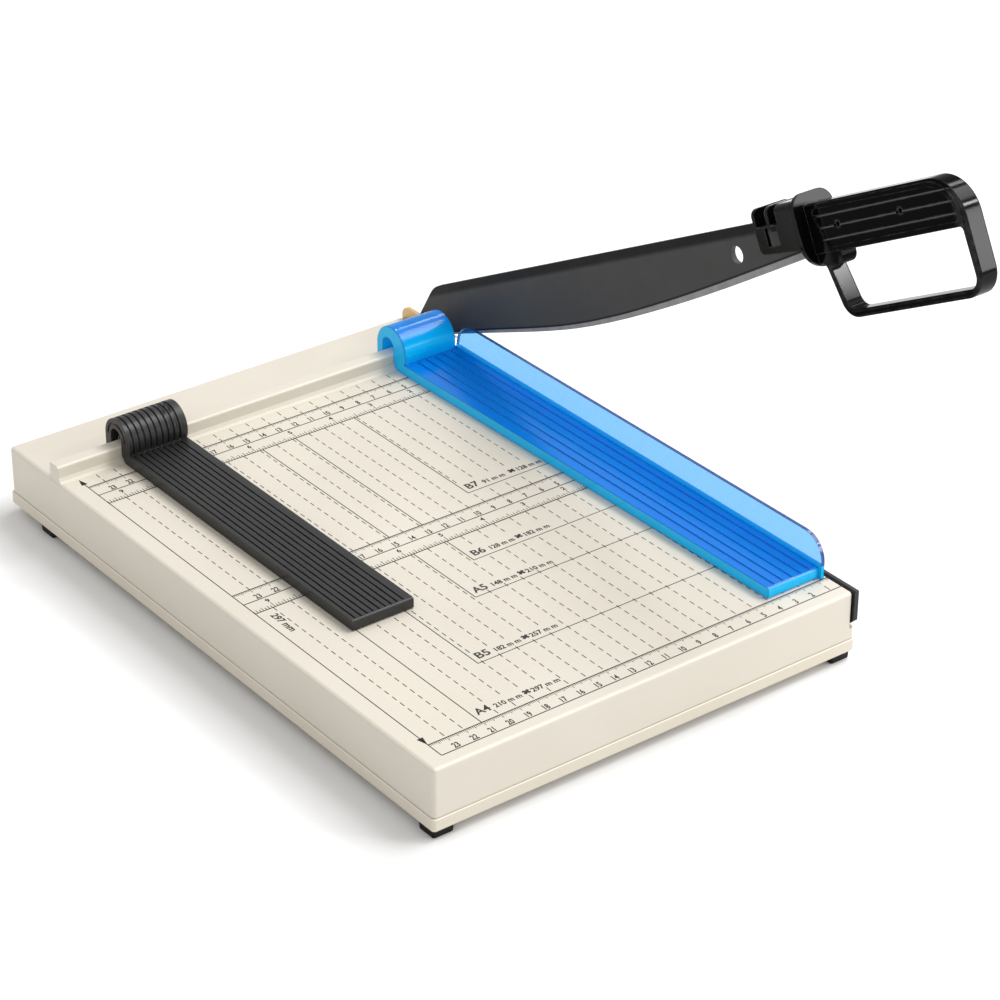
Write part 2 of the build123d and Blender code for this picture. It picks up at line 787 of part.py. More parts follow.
# Paper stop: ribbed hook and grooved plate, slides along the fence.
stop_mid = stop_left + stop_width / 2
groove_pitch = 3.45
rib_depth = 0.8
hook_grooves = 9
with BuildPart() as paper_stop:
    with BuildSketch(side_plane(stop_left)):
        make_face(
            hook_profile(
                stop_reach, stop_back_y, stop_back_z, stop_back_radius, 1.2
            ).edges()
        )
    extrude(amount=stop_width)
    # Grooves round the hook leave ribs for the fingers.
    for number in range(hook_grooves):
        groove_x = stop_mid + (number - hook_grooves / 2) * groove_pitch
        with BuildSketch(side_plane(groove_x)):
            with Locations((stop_back_y, stop_back_z)):
                Circle(stop_back_radius + 1.0)
                Circle(stop_back_radius - rib_depth, mode=Mode.SUBTRACT)
                Rectangle(
                    40.0,
                    30.0,
                    align=(Align.MIN, Align.MAX),
                    mode=Mode.SUBTRACT,
                )
            with Locations((0.0, plate_thickness + 0.8)):
                Rectangle(
                    60.0,
                    20.0,
                    align=(Align.CENTER, Align.MAX),
                    mode=Mode.SUBTRACT,
                )
            with Locations((stop_back_y + stop_back_radius - rib_depth, stop_back_z)):
                Rectangle(2.0, 12.0, align=(Align.MIN, Align.MAX))
        extrude(amount=1.3, mode=Mode.SUBTRACT)
    # Stepped end faces of the hook.
    for end_x in (stop_left, stop_left + stop_width - 0.6):
        with BuildSketch(side_plane(end_x)):
            with Locations((hook_y - 0.6, hook_z)):
                Circle(8.6)
                Circle(7.2, mode=Mode.SUBTRACT)
                Rectangle(
                    40.0,
                    40.0,
                    align=(Align.CENTER, Align.MAX),
                    mode=Mode.SUBTRACT,
                )
        extrude(amount=0.6, mode=Mode.SUBTRACT)
    # Long grooves along the plate.
    with BuildSketch(deck_plane(stop_mid - 1.3, 0.0, plate_thickness)):
        with Locations((0.0, -stop_reach / 2 - 1.6)):
            with GridLocations(groove_pitch, 0.0, 9, 1):
                Rectangle(1.1, stop_reach - 6.0)
    extrude(amount=-0.8, mode=Mode.SUBTRACT)
    # Hollow underside, closed by the rim.
    with BuildSketch(deck_plane(stop_mid, 0.0, 0.0)):
        with Locations((0.0, -stop_reach / 2 - 3.0)):
            with GridLocations(11.0, 64.0, 3, 3):
                RectangleRounded(9.2, 62.0, 1.0)
    extrude(amount=3.2, mode=Mode.SUBTRACT)
paper_stop.part.label = "paper_stop"
export_step(paper_stop.part, "parts/paper_stop.step")

# Felt strip inside the hook of the stop, steadies it on the fence.
with BuildPart() as stop_felt:
    with BuildSketch(side_plane(stop_left + 4.0)):
        with Locations((hook_y + hook_inner - 0.5, 6.6)):
            Rectangle(1.0, 5.6)
    extrude(amount=stop_width - 8.0)
    fillet(stop_felt.edges().filter_by(Axis.Z), 0.3)
stop_felt.part.label = "stop_felt"
export_step(stop_felt.part, "parts/stop_felt.step")

# Paper guard: clear hook and ribbed plate that holds the sheet down, with an
# upright shield beside the cutting edge. The plate narrows towards the front.
guard_width = guard_right - guard_left
guard_front_mid = (guard_left + guard_taper + guard_right) / 2
groove_width = 1.0
groove_depth = 0.6
guard_wall = 1.8
channel_pitch = 5.2
shield_left = shield_outer - shield_thickness
with BuildPart() as paper_guard:
    with BuildSketch(side_plane(guard_left)):
        make_face(
            hook_profile(
                guard_reach, guard_back_y, guard_back_z, guard_back_radius, 1.2
            ).edges()
        )
    extrude(amount=guard_width)
    # The hook ends short of the shield.
    with BuildSketch(side_plane(guard_left + guard_hook_width)):
        with Locations((-4.4, 0.0)):
            Rectangle(40.0, 60.0, align=(Align.MIN, Align.CENTER))
        with Locations((-10.0, plate_thickness)):
            Rectangle(40.0, 40.0, align=(Align.MIN, Align.MIN))
    extrude(amount=guard_width, mode=Mode.SUBTRACT)
    fillet(paper_guard.edges().filter_by(GeomType.CIRCLE).group_by(Axis.Z)[-1], 0.5)
    # Taper of the left side, from the hook to the nose.
    with BuildSketch(deck_plane()):
        with BuildLine():
            Polyline(
                (guard_left, -8.0),
                (guard_left + guard_taper, -guard_reach),
                (guard_left + guard_taper, -guard_reach - 1.0),
                (guard_left - 1.0, -guard_reach - 1.0),
                (guard_left - 1.0, -8.0),
                (guard_left, -8.0),
            )
        make_face()
    extrude(amount=plate_thickness + 1.0, mode=Mode.SUBTRACT)
    # Channels under the plate leave long webs, closed by a thin front wall.
    with BuildSketch(front_plane(guard_wall - guard_reach)):
        with Locations((guard_front_mid - 0.4, slide_gap)):
            with GridLocations(channel_pitch, 0.0, 6, 1):
                Rectangle(3.9, 7.6)
    extrude(amount=-(guard_reach - guard_wall - 10.0), mode=Mode.SUBTRACT)
    # Long grooves along the top of the plate.
    groove_length = guard_reach - 8.0 - guard_wall
    with BuildSketch(deck_plane(guard_front_mid - 0.4, 0.0, plate_thickness)):
        with Locations((0.0, -8.0 - groove_length / 2)):
            with GridLocations(5.6, 0.0, 5, 1):
                Rectangle(groove_width, groove_length)
    extrude(amount=-groove_depth, mode=Mode.SUBTRACT)
    with BuildSketch(side_plane(shield_left)):
        with BuildLine():
            FilletPolyline(
                (shield_rear, slide_gap),
                (shield_rear, shield_height),
                (shield_front, shield_height),
                (shield_front, slide_gap),
                radius=(0.0, 14.0, 13.0, 0.0),
                close=True,
            )
        make_face()
    extrude(amount=shield_thickness)
paper_guard.part.label = "paper_guard"
export_step(paper_guard.part, "parts/paper_guard.step")
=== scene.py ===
"""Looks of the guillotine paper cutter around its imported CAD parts, in metres in the row frame."""

import math

import bmesh
import bpy
from mathutils import Matrix, Vector


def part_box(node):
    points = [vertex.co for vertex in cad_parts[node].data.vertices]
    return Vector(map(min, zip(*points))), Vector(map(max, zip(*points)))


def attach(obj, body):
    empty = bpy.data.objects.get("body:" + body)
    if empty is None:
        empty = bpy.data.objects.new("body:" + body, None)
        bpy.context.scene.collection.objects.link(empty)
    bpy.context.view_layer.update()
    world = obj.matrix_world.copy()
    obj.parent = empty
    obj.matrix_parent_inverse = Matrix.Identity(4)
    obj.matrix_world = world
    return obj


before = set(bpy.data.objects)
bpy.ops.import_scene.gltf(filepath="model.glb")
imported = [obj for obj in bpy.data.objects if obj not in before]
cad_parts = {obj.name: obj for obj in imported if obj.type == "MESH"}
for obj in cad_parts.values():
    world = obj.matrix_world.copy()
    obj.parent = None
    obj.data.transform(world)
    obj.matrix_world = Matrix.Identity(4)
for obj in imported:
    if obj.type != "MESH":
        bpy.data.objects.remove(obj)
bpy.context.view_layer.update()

MM = 0.001
FENCE_DEPTH = 52 * MM
DECK_HEIGHT = 25.9 * MM

# The datum: the cutting edge, the fence's front face and the top of the deck.
shell_low, shell_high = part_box("base_shell")
cut_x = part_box("ledger_knife")[1].x
fence_y = shell_high.y - FENCE_DEPTH
deck_z = shell_low.z + DECK_HEIGHT


def at(x, y, z=0.0):
    """A point given in millimetres from the datum."""
    return Vector((cut_x + x * MM, fence_y + y * MM, deck_z + z * MM))


# ---------------------------------------------------------------- node helpers


def new_material(name):
    """An empty node material with its Principled shader."""
    material = bpy.data.materials.new(name)
    material.use_nodes = True
    tree = material.node_tree
    tree.nodes.clear()
    shader = tree.nodes.new("ShaderNodeBsdfPrincipled")
    output = tree.nodes.new("ShaderNodeOutputMaterial")
    tree.links.new(shader.outputs["BSDF"], output.inputs["Surface"])
    return material, tree, shader


def put(tree, socket, value):
    """Sets a socket to a number or colour, or links it."""
    if isinstance(value, bpy.types.NodeSocket):
        tree.links.new(value, socket)
    elif isinstance(value, (tuple, list, Vector)) and len(value) == 3 and len(socket.default_value) == 4:
        socket.default_value = (*value, 1.0)
    else:
        socket.default_value = value


def place(tree):
    """The point's place in the row frame, which no pose changes."""
    return tree.nodes.new("ShaderNodeTexCoord").outputs["Object"]


def stretched(tree, scales):
    """The point's place, stretched by a factor along each axis."""
    node = tree.nodes.new("ShaderNodeMapping")
    node.inputs["Scale"].default_value = scales
    tree.links.new(place(tree), node.inputs["Vector"])
    return node.outputs["Vector"]


def noise(tree, scale, detail=3.0, where=None, roughness=0.55):
    """Soft random values around 0.5; where is the point that they are read at."""
    node = tree.nodes.new("ShaderNodeTexNoise")
    node.inputs["Scale"].default_value = scale
    node.inputs["Detail"].default_value = detail
    node.inputs["Roughness"].default_value = roughness
    tree.links.new(where or place(tree), node.inputs["Vector"])
    return node.outputs["Fac"]


def ramp(tree, value, low, high, out_low=0.0, out_high=1.0, smooth=False):
    """Value taken from low..high to out_low..out_high, held at both ends."""
    node = tree.nodes.new("ShaderNodeMapRange")
    node.interpolation_type = "SMOOTHSTEP" if smooth else "LINEAR"
    for socket, number in zip(node.inputs[1:5], (low, high, out_low, out_high)):
        socket.default_value = number
    tree.links.new(value, node.inputs["Value"])
    return node.outputs["Result"]


def calc(tree, operation, a, b=0.0):
    """One step of arithmetic."""
    node = tree.nodes.new("ShaderNodeMath")
    node.operation = operation
    put(tree, node.inputs[0], a)
    put(tree, node.inputs[1], b)
    return node.outputs["Value"]


def dot(tree, vector, direction):
    """How far a vector runs along a direction."""
    node = tree.nodes.new("ShaderNodeVectorMath")
    node.operation = "DOT_PRODUCT"
    tree.links.new(vector, node.inputs[0])
    node.inputs[1].default_value = direction
    return node.outputs["Value"]


def blend_colour(tree, share, first, second):
    """The first colour where share is 0, the second where it is 1."""
    node = tree.nodes.new("ShaderNodeMix")
    node.data_type = "RGBA"
    put(tree, node.inputs["Factor"], share)
    put(tree, node.inputs["A"], first)
    put(tree, node.inputs["B"], second)
    return node.outputs["Result"]


def coordinate(tree, axis):
    """The point's place along one axis of the row frame, in metres."""
    node = tree.nodes.new("ShaderNodeSeparateXYZ")
    tree.links.new(place(tree), node.inputs["Vector"])
    return node.outputs[axis]


def facing(tree, axis):
    """One part of the surface's direction, from -1 to 1."""
    node = tree.nodes.new("ShaderNodeSeparateXYZ")
    tree.links.new(tree.nodes.new("ShaderNodeTexCoord").outputs["Normal"], node.inputs["Vector"])
    return node.outputs[axis]


def rounded_normal(tree, radius, name="rounding"):
    """The surface's direction with its edges rounded over a radius."""
    node = tree.nodes.new("ShaderNodeBevel")
    node.name = name
    node.samples = 4
    node.inputs["Radius"].default_value = radius
    return node.outputs["Normal"]


def bump(tree, height, strength, distance, under=None):
    """A surface direction tilted by a height, over an underlying direction."""
    node = tree.nodes.new("ShaderNodeBump")
    node.inputs["Strength"].default_value = strength
    node.inputs["Distance"].default_value = distance
    tree.links.new(height, node.inputs["Height"])
    if under is not None:
        tree.links.new(under, node.inputs["Normal"])
    return node.outputs["Normal"]


def edges(tree, radius, gain=6.0):
    """1 along outer and inner edges, 0 on open faces."""
    node = tree.nodes.new("ShaderNodeVectorMath")
    node.operation = "DOT_PRODUCT"
    tree.links.new(rounded_normal(tree, radius, "edge_tint"), node.inputs[0])
    tree.links.new(tree.nodes.new("ShaderNodeNewGeometry").outputs["Normal"], node.inputs[1])
    turn = flipped(tree, node.outputs["Value"])
    return ramp(tree, turn, 0.0, 1.0 / gain)


def mix_shader(tree, share, first, second):
    """The first shader where share is 0, the second where it is 1."""
    node = tree.nodes.new("ShaderNodeMixShader")
    put(tree, node.inputs[0], share)
    tree.links.new(first, node.inputs[1])
    tree.links.new(second, node.inputs[2])
    return node.outputs["Shader"]


def flipped(tree, share):
    """1 minus a share."""
    return calc(tree, "SUBTRACT", 1.0, share)


# ---------------------------------------------------------------- materials


def moulded(name, colour, shade, rough, grain=0.1, grain_scale=2600, scuff_and_highlight_colour=None, edge_tint=0.5,
            edge_tint_radius=0.5 * MM, rounding=0.25 * MM, specular=0.5, lit_edge=None):
    """Moulded plastic: slow colour drift, fine grain, paler edges in patches (scuffing and painted
    highlight) and a painted highlight on upper roundings.
    """
    material, tree, shader = new_material(name)
    drift = ramp(tree, noise(tree, 14, 4), 0.35, 0.65)
    tint = blend_colour(tree, drift, colour, shade)
    # Paler edges in patches: partly scuffing, partly a painted highlight.
    if scuff_and_highlight_colour:
        patches = ramp(tree, noise(tree, 160, 4), 0.4, 0.62, 0.15, edge_tint)
        tint = blend_colour(tree, calc(tree, "MULTIPLY", edges(tree, edge_tint_radius), patches), tint, scuff_and_highlight_colour)
    # Painted highlight: roundings that turn upward are painted lighter.
    if lit_edge:
        up = facing(tree, "Z")
        turned = ramp(tree, up, 0.30, 0.62, smooth=True)
        not_flat = ramp(tree, up, 0.80, 0.97, 1.0, 0.0, smooth=True)
        share = calc(tree, "MULTIPLY", calc(tree, "MULTIPLY", turned, not_flat), 0.8)
        tint = blend_colour(tree, share, tint, lit_edge)
    put(tree, shader.inputs["Base Color"], tint)
    put(tree, shader.inputs["Roughness"], ramp(tree, noise(tree, 45, 5), 0.3, 0.7, *rough))
    soft = rounded_normal(tree, rounding)
    put(tree, shader.inputs["Normal"], bump(tree, noise(tree, grain_scale, 2), grain, 0.05 * MM, soft))
    shader.inputs["Specular IOR Level"].default_value = specular
    return material


def gloss_black(name):
    """Polished black plastic, with a painted highlight along its edges."""
    return moulded(name, (0.002, 0.002, 0.002), (0.003, 0.003, 0.003), (0.09, 0.14), 0.02, 1500,
                   (0.12, 0.12, 0.12), 0.8, edge_tint_radius=0.9 * MM, rounding=0.6 * MM, specular=0.12)


def metal(name, colour, shade, rough, brush=(1, 1, 1), metallic=1.0, scuff_and_highlight_colour=None, pits=0.15):
    """Metal with fine directional marks, stains and paler scuffed edges, which on the amber bracket also
    stand for a painted highlight.
    """
    material, tree, shader = new_material(name)
    stain = ramp(tree, noise(tree, 90, 5), 0.35, 0.68)
    tint = blend_colour(tree, stain, colour, shade)
    if scuff_and_highlight_colour:
        tint = blend_colour(tree, calc(tree, "MULTIPLY", edges(tree, 0.35 * MM), 0.7), tint, scuff_and_highlight_colour)
    put(tree, shader.inputs["Base Color"], tint)
    shader.inputs["Metallic"].default_value = metallic
    marks = noise(tree, 900, 3, stretched(tree, brush))
    put(tree, shader.inputs["Roughness"], ramp(tree, marks, 0.3, 0.7, *rough))
    put(tree, shader.inputs["Normal"], bump(tree, marks, pits, 0.03 * MM, rounded_normal(tree, 0.2 * MM)))
    return material


# Painted highlight: the lit_edge colours on upper roundings, and the tray's pale edge colour along its lip;
# the shell's paler edges are partly scuffing, partly painted highlight.
cream = moulded("cream_shell", (0.705, 0.655, 0.565), (0.680, 0.628, 0.535), (0.38, 0.52), 0.12, 2200,
                (0.86, 0.81, 0.71), 0.7, lit_edge=(0.81, 0.76, 0.655))
cream_lower = moulded("cream_tray", (0.710, 0.652, 0.545), (0.685, 0.622, 0.510), (0.36, 0.5), 0.12, 2200,
                      (0.95, 0.91, 0.80), 1.0, lit_edge=(0.95, 0.91, 0.80))
rubber = moulded("foot_rubber", (0.006, 0.006, 0.006), (0.010, 0.010, 0.010), (0.45, 0.65), 0.5, 1800,
                 (0.03, 0.03, 0.03), 0.4, specular=0.2)
polished = gloss_black("gloss_black")
# The stop's paler edges are partly scuffing, partly painted highlight lines.
charcoal = moulded("stop_charcoal", (0.014, 0.014, 0.014), (0.020, 0.020, 0.020), (0.30, 0.42), 0.15, 2400,
                   (0.14, 0.14, 0.14), 0.6, rounding=0.3 * MM, specular=0.4)
nylon = moulded("washer_nylon", (0.72, 0.72, 0.69), (0.66, 0.65, 0.61), (0.4, 0.55), 0.1)

zinc = metal("zinc_plate", (0.62, 0.63, 0.64), (0.48, 0.49, 0.51), (0.22, 0.4), scuff_and_highlight_colour=(0.8, 0.8, 0.8))
spring_steel = metal("spring_wire", (0.35, 0.35, 0.36), (0.24, 0.24, 0.25), (0.25, 0.42))
screw_black = metal("screw_black", (0.05, 0.05, 0.052), (0.03, 0.03, 0.031), (0.3, 0.5), metallic=0.8,
                    scuff_and_highlight_colour=(0.3, 0.3, 0.3))
knife_steel = metal("knife_steel", (0.008, 0.008, 0.008), (0.005, 0.005, 0.005), (0.30, 0.45),
                    brush=(1, 0.06, 1), metallic=0.2, scuff_and_highlight_colour=(0.05, 0.05, 0.05))
# The bracket's pale edges are partly scuffing, partly a painted highlight.
amber = metal("bracket_zinc", (0.72, 0.50, 0.24), (0.62, 0.41, 0.18), (0.24, 0.42),
              brush=(1, 0.4, 0.4), metallic=0.35, scuff_and_highlight_colour=(0.90, 0.78, 0.55), pits=0.2)


def felt_material():
    """Grey felt: matted fibres with a soft sheen."""
    material, tree, shader = new_material("stop_felt_grey")
    fibres = noise(tree, 2500, 6, stretched(tree, (1, 0.35, 1)), 0.7)
    put(tree, shader.inputs["Base Color"],
        blend_colour(tree, ramp(tree, fibres, 0.3, 0.7), (0.16, 0.16, 0.17), (0.30, 0.30, 0.31)))
    put(tree, shader.inputs["Roughness"], ramp(tree, fibres, 0.3, 0.7, 0.85, 1.0))
    put(tree, shader.inputs["Normal"], bump(tree, fibres, 0.8, 0.2 * MM))
    shader.inputs["Sheen Weight"].default_value = 0.4
    return material


# The blade lies in a plane of its own: s runs from its heel to the handle, d from its back to its edge,
# both in millimetres.
BLADE_TILT = math.radians(27.4)
BLADE_ORIGIN = at(0.3, 20.4, 30.2)
ALONG = Vector((0, -math.cos(BLADE_TILT), math.sin(BLADE_TILT)))
ACROSS = Vector((0, -math.sin(BLADE_TILT), -math.cos(BLADE_TILT)))
BLADE_START = -10.0
# The cutting edge's s and d at a few places, as in the CAD outline.
EDGE_POINTS = ((-6, 27), (38.4, 30.3), (80, 33.6), (112.5, 35.3), (150, 35.1), (190, 33), (231.4, 29.7),
               (279.3, 24.6), (314, 20.6))
BLADE_LENGTH = 340.0
BLADE_DEPTH = 60.0
RIB_DEPTHS = (1.6, 7.2, 12.8)
RIB_RUN = (333.0, 423.0)


def on_blade(tree, direction):
    """The point's distance in millimetres from the blade's origin along a direction."""
    run = dot(tree, place(tree), direction)
    return calc(tree, "MULTIPLY", calc(tree, "SUBTRACT", run, BLADE_ORIGIN.dot(direction)), 1000.0)


def edge_depth(tree, s):
    """How deep the cutting edge lies at a run s along the blade, in millimetres."""
    node = tree.nodes.new("ShaderNodeFloatCurve")
    curve = node.mapping.curves[0]
    first = EDGE_POINTS[0]
    last = EDGE_POINTS[-1]
    curve.points[0].location = (0.0, first[1] / BLADE_DEPTH)
    curve.points[1].location = ((last[0] - BLADE_START) / BLADE_LENGTH, last[1] / BLADE_DEPTH)
    for run, depth in EDGE_POINTS[1:-1]:
        curve.points.new((run - BLADE_START) / BLADE_LENGTH, depth / BLADE_DEPTH)
    node.mapping.update()
    run = calc(tree, "SUBTRACT", s, BLADE_START)
    put(tree, node.inputs["Value"], calc(tree, "DIVIDE", run, BLADE_LENGTH))
    return calc(tree, "MULTIPLY", node.outputs["Value"], BLADE_DEPTH)


def blade_material():
    """Satin black with painted shade along its back, and a dark line above the ground edge of bare steel."""
    material, tree, shader = new_material("blade_black")
    s = on_blade(tree, ALONG)
    d = on_blade(tree, ACROSS)
    from_edge = calc(tree, "SUBTRACT", edge_depth(tree, s), d)
    width = ramp(tree, s, 0.0, 250.0, 1.5, 3.5)
    past = calc(tree, "SUBTRACT", width, from_edge)
    ground = ramp(tree, past, -0.1, 0.1)
    line = ramp(tree, calc(tree, "ABSOLUTE", calc(tree, "ADD", past, 0.3)), 0.35, 0.7, 1.0, 0.0)
    marks = noise(tree, 700, 4, stretched(tree, (1, 0.25, 0.25)))
    cloud = ramp(tree, noise(tree, 20, 4), 0.3, 0.7)
    black = blend_colour(tree, cloud, (0.058, 0.058, 0.058), (0.068, 0.068, 0.068))
    # Painted shade: the band along the rounded back is painted near black.
    back = ramp(tree, d, 3.5, 6.5, 1.0, 0.0, True)
    black = blend_colour(tree, back, black, (0.004, 0.004, 0.004))
    bare = blend_colour(tree, ramp(tree, marks, 0.3, 0.7), (0.34, 0.34, 0.34), (0.27, 0.27, 0.27))
    tint = blend_colour(tree, ground, black, bare)
    tint = blend_colour(tree, calc(tree, "MULTIPLY", line, 0.9), tint, (0.004, 0.004, 0.004))
    put(tree, shader.inputs["Base Color"], tint)
    shader.inputs["Specular IOR Level"].default_value = 0.15
    put(tree, shader.inputs["Roughness"], ramp(tree, marks, 0.3, 0.7, 0.40, 0.52))
    put(tree, shader.inputs["Normal"], bump(tree, marks, 0.12, 0.03 * MM, rounded_normal(tree, 0.4 * MM)))
    return material


def grip_ribs(tree, s):
    """1 on the tops of the grip's long ribs, 0 elsewhere."""
    d = calc(tree, "ADD", on_blade(tree, ACROSS), ramp(tree, s, *RIB_RUN, -0.6, 0.6))
    ribs = 0.0
    for depth in RIB_DEPTHS:
        away = calc(tree, "ABSOLUTE", calc(tree, "SUBTRACT", d, depth))
        ribs = calc(tree, "MAXIMUM", ramp(tree, away, 0.15, 0.4, 1.0, 0.0), ribs)
    return ribs, d


def grip_material():
    """Polished black, with a dull panel on the grip whose long ribs carry painted highlight lines on top,
    and a wider painted highlight along the loop's edges.
    """
    material = gloss_black("gloss_black_grip")
    tree = material.node_tree
    shader = tree.nodes["Principled BSDF"]
    s = on_blade(tree, ALONG)
    ribs, d = grip_ribs(tree, s)
    start, end = RIB_RUN
    # The paler edge colour, a painted highlight, reaches wider along the loop's edges.
    loop = calc(tree, "MAXIMUM", ramp(tree, s, end, end + 6), ramp(tree, d, 20.0, 24.0))
    loop_highlight_reach = ramp(tree, loop, 0.0, 1.0, 0.5 * MM, 2.2 * MM)
    put(tree, tree.nodes["edge_tint"].inputs["Radius"], loop_highlight_reach)
    panel = calc(tree, "MULTIPLY", ramp(tree, s, start, start + 4), ramp(tree, s, end, end + 4, 1, 0))
    put(tree, shader.inputs["Specular IOR Level"], ramp(tree, panel, 0.0, 1.0, 0.12, 0.02))
    # Painted highlight: thin pale lines along the rib tops on the side faces.
    sideways = ramp(tree, calc(tree, "ABSOLUTE", facing(tree, "X")), 0.7, 0.9)
    rib_highlight = calc(tree, "MULTIPLY", calc(tree, "MULTIPLY", ribs, panel), sideways)
    plain = shader.inputs["Base Color"].links[0].from_socket
    put(tree, shader.inputs["Base Color"], blend_colour(tree, rib_highlight, plain, (0.10, 0.10, 0.10)))
    return material


def guard_regions(tree):
    """The thin shield, the shield's rim, and the thick part's upright faces, which get a painted glow, each
    as a share from 0 to 1.
    """
    shield_x = at(-7.75, 0).x
    plate_z = at(0, 0, 7.2).z
    fence_front = at(0, -2).y
    right_of = ramp(tree, coordinate(tree, "X"), shield_x - 0.1 * MM, shield_x + 0.1 * MM)
    above = ramp(tree, coordinate(tree, "Z"), plate_z - 0.1 * MM, plate_z + 0.3 * MM)
    before = ramp(tree, coordinate(tree, "Y"), fence_front - 2 * MM, fence_front, 1.0, 0.0)
    thin = calc(tree, "MULTIPLY", calc(tree, "MULTIPLY", right_of, above), before)
    sideways = ramp(tree, calc(tree, "ABSOLUTE", facing(tree, "X")), 0.5, 0.8)
    rim = calc(tree, "MULTIPLY", thin, flipped(tree, sideways))
    leftward = ramp(tree, facing(tree, "X"), -0.5, -0.8)
    forward = ramp(tree, facing(tree, "Y"), -0.5, -0.95)
    upright = calc(tree, "MULTIPLY", calc(tree, "MAXIMUM", leftward, forward), flipped(tree, thin))
    return thin, rim, upright


def guard_material():
    """Clear blue acrylic: deep blue where it is thick, pale on the thin shield, dark along its rims; its
    upright faces carry a painted glow and it gives off a faint painted blue glow.
    """
    material, tree, shader = new_material("guard_blue")
    thin, rim, upright = guard_regions(tree)
    outline = calc(tree, "MULTIPLY", edges(tree, 1.0 * MM, 18.0), flipped(tree, thin))
    drift = ramp(tree, noise(tree, 9, 2), 0.3, 0.7)
    tint = blend_colour(tree, drift, (0.0, 0.36, 0.98), (0.0, 0.31, 0.93))
    # Painted glow: the left- and front-facing faces are painted a brighter cyan.
    tint = blend_colour(tree, upright, tint, (0.0, 0.62, 1.0))
    tint = blend_colour(tree, calc(tree, "MULTIPLY", outline, 0.85), tint, (0.0, 0.02, 0.30))
    tint = blend_colour(tree, thin, tint, (0.08, 0.50, 0.98))
    tint = blend_colour(tree, rim, tint, (0.004, 0.006, 0.15))
    put(tree, shader.inputs["Base Color"], tint)
    put(tree, shader.inputs["Roughness"], ramp(tree, noise(tree, 60, 4), 0.3, 0.7, 0.16, 0.26))
    shader.inputs["Specular IOR Level"].default_value = 0.25
    # Painted glow: a faint blue emission, though the guard is no lamp.
    shader.inputs["Emission Color"].default_value = (0.0, 0.38, 1.0, 1.0)
    shader.inputs["Emission Strength"].default_value = 0.07
    normal = rounded_normal(tree, 0.35 * MM)
    put(tree, shader.inputs["Normal"], normal)
    clear = tree.nodes.new("ShaderNodeBsdfTransparent")
    put(tree, clear.inputs["Color"], blend_colour(tree, thin, (0.10, 0.70, 0.98), (0.53, 0.785, 0.973)))
    solid = calc(tree, "SUBTRACT", 0.44, calc(tree, "MULTIPLY", thin, 0.34))
    for region, amount in ((rim, 0.8), (upright, 0.35), (outline, 0.4)):
        solid = calc(tree, "ADD", solid, calc(tree, "MULTIPLY", region, amount))
    body = mix_shader(tree, solid, clear.outputs["BSDF"], shader.outputs["BSDF"])
    gloss = tree.nodes.new("ShaderNodeBsdfGlossy")
    gloss.inputs["Roughness"].default_value = 0.14
    put(tree, gloss.inputs["Normal"], normal)
    weight = tree.nodes.new("ShaderNodeLayerWeight")
    glancing = ramp(tree, weight.outputs["Facing"], 0.4, 1.0, 0.02, 0.22, True)
    whole = mix_shader(tree, glancing, body, gloss.outputs["BSDF"])
    tree.links.new(whole, tree.nodes["Material Output"].inputs["Surface"])
    return material


def ink_material():
    """Screen-printed ink, a little uneven."""
    material, tree, shader = new_material("print_ink")
    density = ramp(tree, noise(tree, 900, 3), 0.35, 0.65)
    put(tree, shader.inputs["Base Color"],
        blend_colour(tree, density, (0.004, 0.004, 0.004), (0.018, 0.017, 0.016)))
    put(tree, shader.inputs["Roughness"], ramp(tree, noise(tree, 300, 2), 0.3, 0.7, 0.45, 0.6))
    return material


def floor_material():
    """Matt white studio paper."""
    material, tree, shader = new_material("studio_white")
    cloud = ramp(tree, noise(tree, 3, 2), 0.3, 0.7)
    put(tree, shader.inputs["Base Color"], blend_colour(tree, cloud, (0.90, 0.90, 0.90), (0.91, 0.91, 0.91)))
    shader.inputs["Roughness"].default_value = 0.9
    shader.inputs["Specular IOR Level"].default_value = 0.1
    return material


FINISHES = {
    "base_shell": cream,
    "bottom_tray": cream_lower,
    "rubber_feet": rubber,
    "tray_screws": zinc,
    "foot_screws": zinc,
    "foot_nuts": zinc,
    "side_nuts": zinc,
    "pivot_bolt": zinc,
    "spring_cup": zinc,
    "lock_nut": zinc,
    "handle_rivets": polished,
    "ledger_knife": knife_steel,
    "pivot_bracket": amber,
    "ledger_screws": screw_black,
    "bracket_screws": screw_black,
    "blade_washer": nylon,
    "pivot_spring": spring_steel,
    "blade": blade_material(),
    "blade_handle": grip_material(),
    "blade_saddle": polished,
    "paper_stop": charcoal,
    "stop_felt": felt_material(),
    "paper_guard": guard_material(),
}

for node, finish in FINISHES.items():
    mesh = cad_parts[node].data
    mesh.materials.clear()
    mesh.materials.append(finish)


# ---------------------------------------------------------------- the deck's print

# Distances are in millimetres: u from the cutting edge to the left, v from the fence to the front.
INK_HEIGHT = 0.04
LEFT_END = 240.0
RIGHT_END = 2.8
REAR_RULER = (9.3, 19.3, 29.3)
MIDDLE_RULER = (140.4, 150.4, 160.4)
FRONT_RULER = (297.4, 307.5)
INCH = 25.4
LAST_CENTIMETRE = 23
DASH = 3.5
DASH_PITCH = 6.0
RULE = 0.62
THIN_RULE = 0.5
SHEETS = (("B7", 91, 128), ("B6", 128, 182), ("A5", 148, 210), ("B5", 182, 257), ("A4", 210, 297))


def ink_face(bm, corners):
    """A flat patch of ink, with its corners in turn seen from above."""
    bm.faces.new([bm.verts.new(at(-u, -v, INK_HEIGHT)) for u, v in corners])


def ink_bar(bm, u, v, u_end, v_end):
    """A rectangle of ink between two corners."""
    ink_face(bm, ((u_end, v_end), (u, v_end), (u, v), (u_end, v)))


